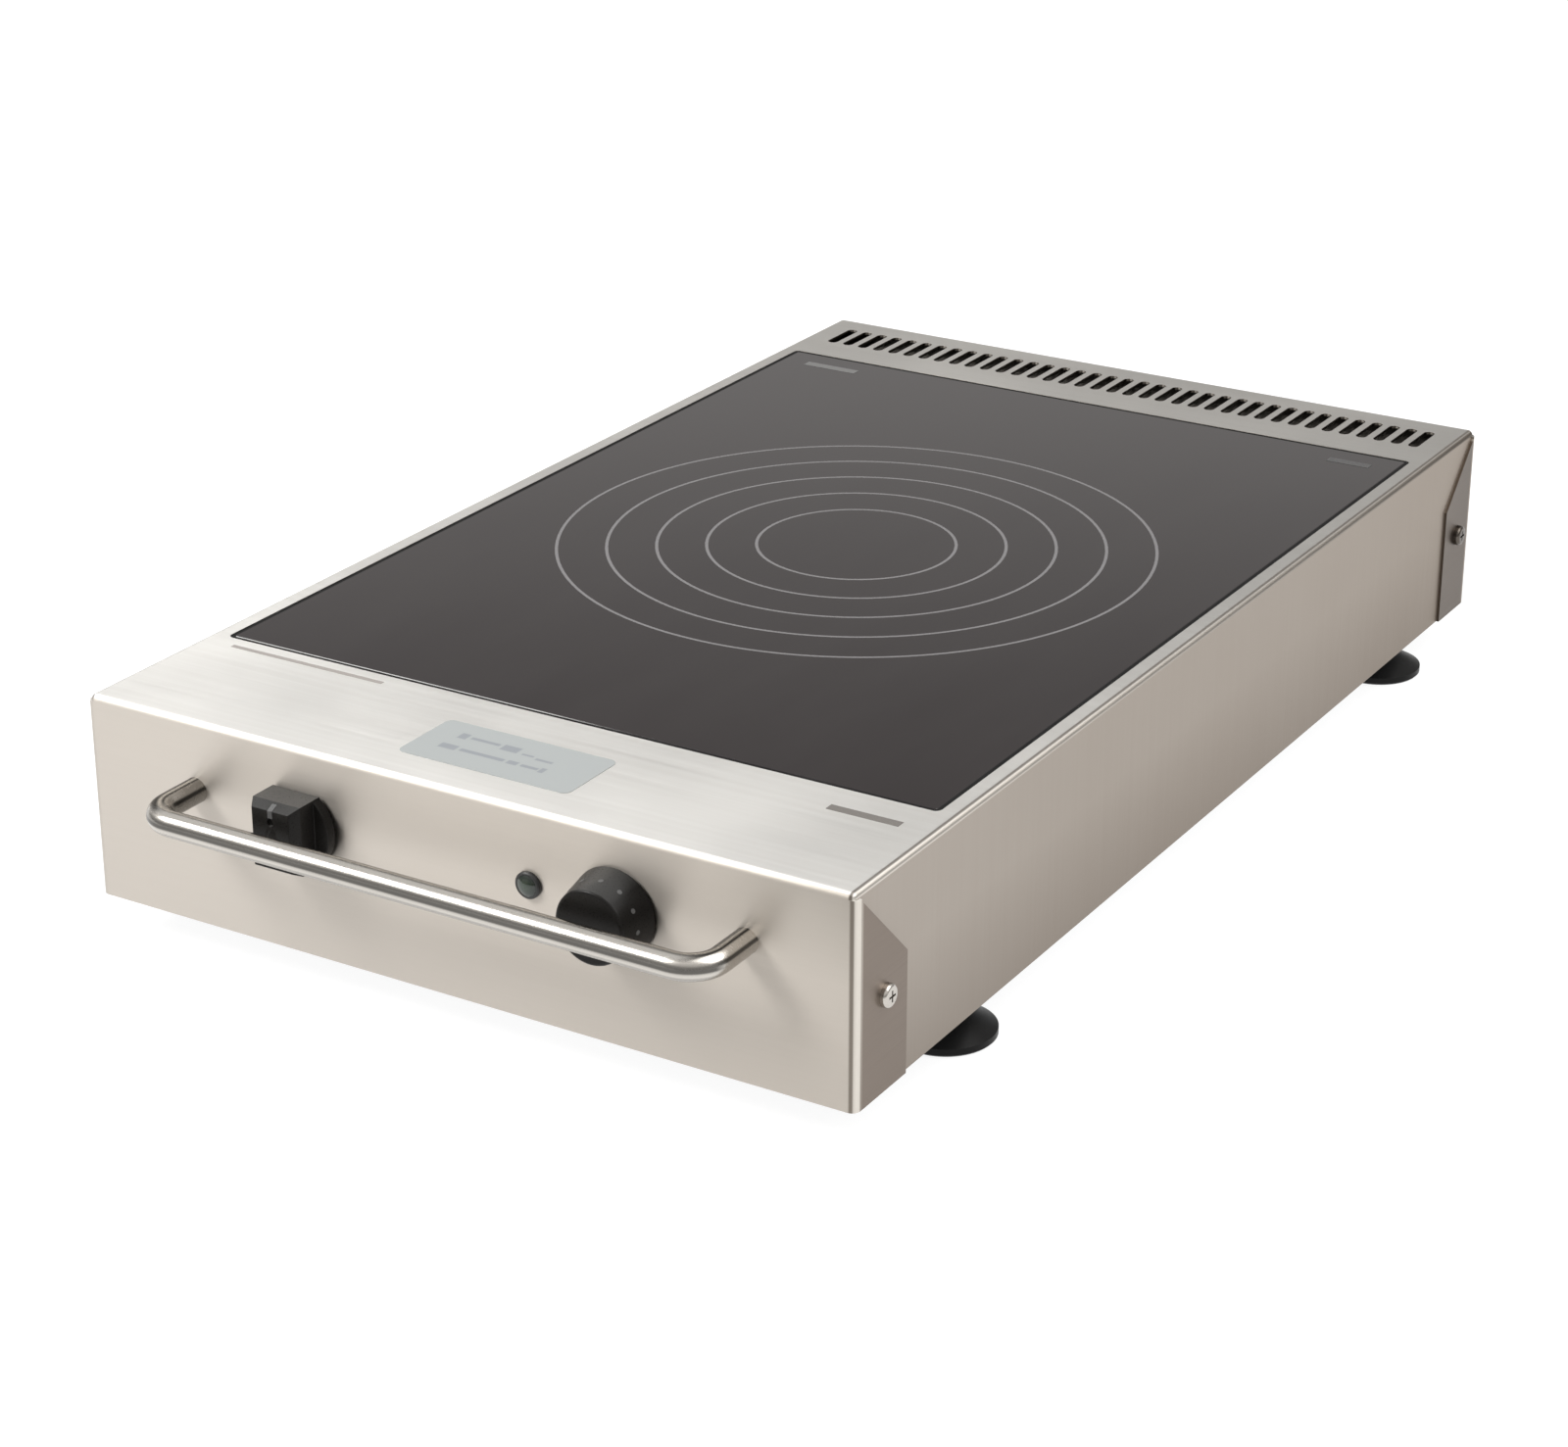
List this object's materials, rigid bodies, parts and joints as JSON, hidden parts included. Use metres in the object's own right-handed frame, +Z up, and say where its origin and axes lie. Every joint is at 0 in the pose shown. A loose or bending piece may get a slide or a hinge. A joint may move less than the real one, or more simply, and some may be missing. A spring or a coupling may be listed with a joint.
{
  "type": "induction hob",
  "caption": "Low brushed-steel counter-top induction hob: flush black glass with zone rings, front handle, rotary controls, rear outlet slots, levelling feet.",
  "frame": {"origin": "middle of the bounding box's footprint, on the surface that the feet stand on", "axes": "+X to the cook's right, +Y from the control panel to the rear, +Z up"},
  "size_m": [0.4094, 0.74, 0.1202],
  "materials": {
    "brushed_steel": "brushed along X on deck and aprons, upright on the side panels",
    "galvanised_sheet": "dull galvanised",
    "black_ceramic_glass": "polished black glass ceramic",
    "grey_silicone": "matte silicone",
    "ring_enamel": "fired grey enamel",
    "grey_ink": "printed ink",
    "label_film": "satin pale-blue film",
    "bright_screw": "zinc plated",
    "polished_rod": "polished stainless",
    "black_knob": "satin black",
    "white_inlay": "white paint",
    "shaft_steel": "turned steel",
    "dark_housing": "moulded black plastic",
    "green_lens": "dark green translucent plastic",
    "copper_litz": "enamelled copper litz",
    "coil_former": "glass-filled moulding",
    "ferrite": "sintered ferrite",
    "white_felt": "ceramic fibre",
    "aluminium": "mill finish",
    "sensor_ceramic": "glazed ceramic",
    "circuit_board": "green solder mask",
    "capacitor_box": "blue moulded box",
    "guard_steel": "zinc-plated steel",
    "fan_wheel": "moulded black plastic",
    "gland_nylon": "black nylon",
    "gland_rubber": "black rubber",
    "foot_plastic": "satin black moulding",
    "stem_steel": "zinc-plated threaded steel"
  },
  "bodies": {
    "case": {"top_cover": "brushed_steel", "base_tray": "galvanised_sheet", "air_duct": "galvanised_sheet", "glass_frame": "galvanised_sheet", "glass_plate": "black_ceramic_glass", "glass_seal": "grey_silicone", "zone_rings": "ring_enamel", "printed_marks": "grey_ink", "control_label": "label_film", "tab_screws": "bright_screw", "base_screws": "bright_screw", "handle_screws": "bright_screw", "lamp_nut": "bright_screw", "potentiometer_nut": "bright_screw", "bonding_stud": "bright_screw", "board_standoffs": "bright_screw", "coil_pillars": "bright_screw", "foot_inserts": "bright_screw", "sensor_spring": "bright_screw", "handle": "polished_rod", "switch_body": "dark_housing", "potentiometer": "dark_housing", "lamp_body": "dark_housing", "power_modules": "dark_housing", "fan_frame_left": "dark_housing", "fan_frame_right": "dark_housing", "terminal_block": "dark_housing", "lamp_lens": "green_lens", "coil_winding": "copper_litz", "coil_carrier": "coil_former", "ferrite_bars": "ferrite", "choke": "ferrite", "insulation_disc": "white_felt", "shield_plate": "aluminium", "heatsink": "aluminium", "temperature_sensor": "sensor_ceramic", "power_board": "circuit_board", "control_board": "circuit_board", "capacitors": "capacitor_box", "fan_guards": "guard_steel", "gland_body": "gland_nylon", "gland_cap": "gland_nylon", "gland_locknut": "gland_nylon", "gland_seal": "gland_rubber"},
    "switch_knob": {"switch_knob": "black_knob", "switch_pointer": "white_inlay", "switch_shaft": "shaft_steel"},
    "power_knob": {"power_knob": "black_knob", "power_dots": "white_inlay", "power_shaft": "shaft_steel"},
    "fan_wheel_left": {"fan_rotor_left": "fan_wheel"},
    "fan_wheel_right": {"fan_rotor_right": "fan_wheel"},
    "stem_front_left": {"foot_stem_front_left": "stem_steel"},
    "pad_front_left": {"foot_pad_front_left": "foot_plastic"},
    "stem_rear_left": {"foot_stem_rear_left": "stem_steel"},
    "pad_rear_left": {"foot_pad_rear_left": "foot_plastic"},
    "stem_front_right": {"foot_stem_front_right": "stem_steel"},
    "pad_front_right": {"foot_pad_front_right": "foot_plastic"},
    "stem_rear_right": {"foot_stem_rear_right": "stem_steel"},
    "pad_rear_right": {"foot_pad_rear_right": "foot_plastic"}
  },
  "joints": [
    {"name": "main_switch_turn", "type": "hinge", "parent": "case", "child": "switch_knob", "pos_m": [-0.0815, -0.33, 0.084], "axis": [0, 1, 0], "range_deg": [0, 90]},
    {"name": "power_knob_turn", "type": "hinge", "parent": "case", "child": "power_knob", "pos_m": [0.085, -0.33, 0.084], "axis": [0, 1, 0], "range_deg": [0, 270]},
    {"name": "fan_left_spin", "type": "hinge", "parent": "case", "child": "fan_wheel_left", "pos_m": [-0.078, -0.17, 0.03], "axis": [0, 0, 1], "continuous": true},
    {"name": "fan_right_spin", "type": "hinge", "parent": "case", "child": "fan_wheel_right", "pos_m": [0.078, -0.17, 0.03], "axis": [0, 0, 1], "continuous": true},
    {"name": "foot_lift_front_left", "type": "slide", "parent": "case", "child": "stem_front_left", "axis": [0, 0, -1], "range_m": [0, 0.015]},
    {"name": "foot_turn_front_left", "type": "hinge", "parent": "stem_front_left", "child": "pad_front_left", "pos_m": [-0.18, -0.215, 0], "axis": [0, 0, -1], "range_deg": [0, 3600]},
    {"name": "foot_lift_rear_left", "type": "slide", "parent": "case", "child": "stem_rear_left", "axis": [0, 0, -1], "range_m": [0, 0.015]},
    {"name": "foot_turn_rear_left", "type": "hinge", "parent": "stem_rear_left", "child": "pad_rear_left", "pos_m": [-0.18, 0.273, 0], "axis": [0, 0, -1], "range_deg": [0, 3600]},
    {"name": "foot_lift_front_right", "type": "slide", "parent": "case", "child": "stem_front_right", "axis": [0, 0, -1], "range_m": [0, 0.015]},
    {"name": "foot_turn_front_right", "type": "hinge", "parent": "stem_front_right", "child": "pad_front_right", "pos_m": [0.18, -0.215, 0], "axis": [0, 0, -1], "range_deg": [0, 3600]},
    {"name": "foot_lift_rear_right", "type": "slide", "parent": "case", "child": "stem_rear_right", "axis": [0, 0, -1], "range_m": [0, 0.015]},
    {"name": "foot_turn_rear_right", "type": "hinge", "parent": "stem_rear_right", "child": "pad_rear_right", "pos_m": [0.18, 0.273, 0], "axis": [0, 0, -1], "range_deg": [0, 3600]}
  ],
  "couplings": [
    {"joint": "foot_lift_front_left", "follows": "foot_turn_front_left", "m_per_rad": 0.00023873},
    {"joint": "foot_lift_rear_left", "follows": "foot_turn_rear_left", "m_per_rad": 0.00023873},
    {"joint": "foot_lift_front_right", "follows": "foot_turn_front_right", "m_per_rad": 0.00023873},
    {"joint": "foot_lift_rear_right", "follows": "foot_turn_rear_right", "m_per_rad": 0.00023873}
  ]
}
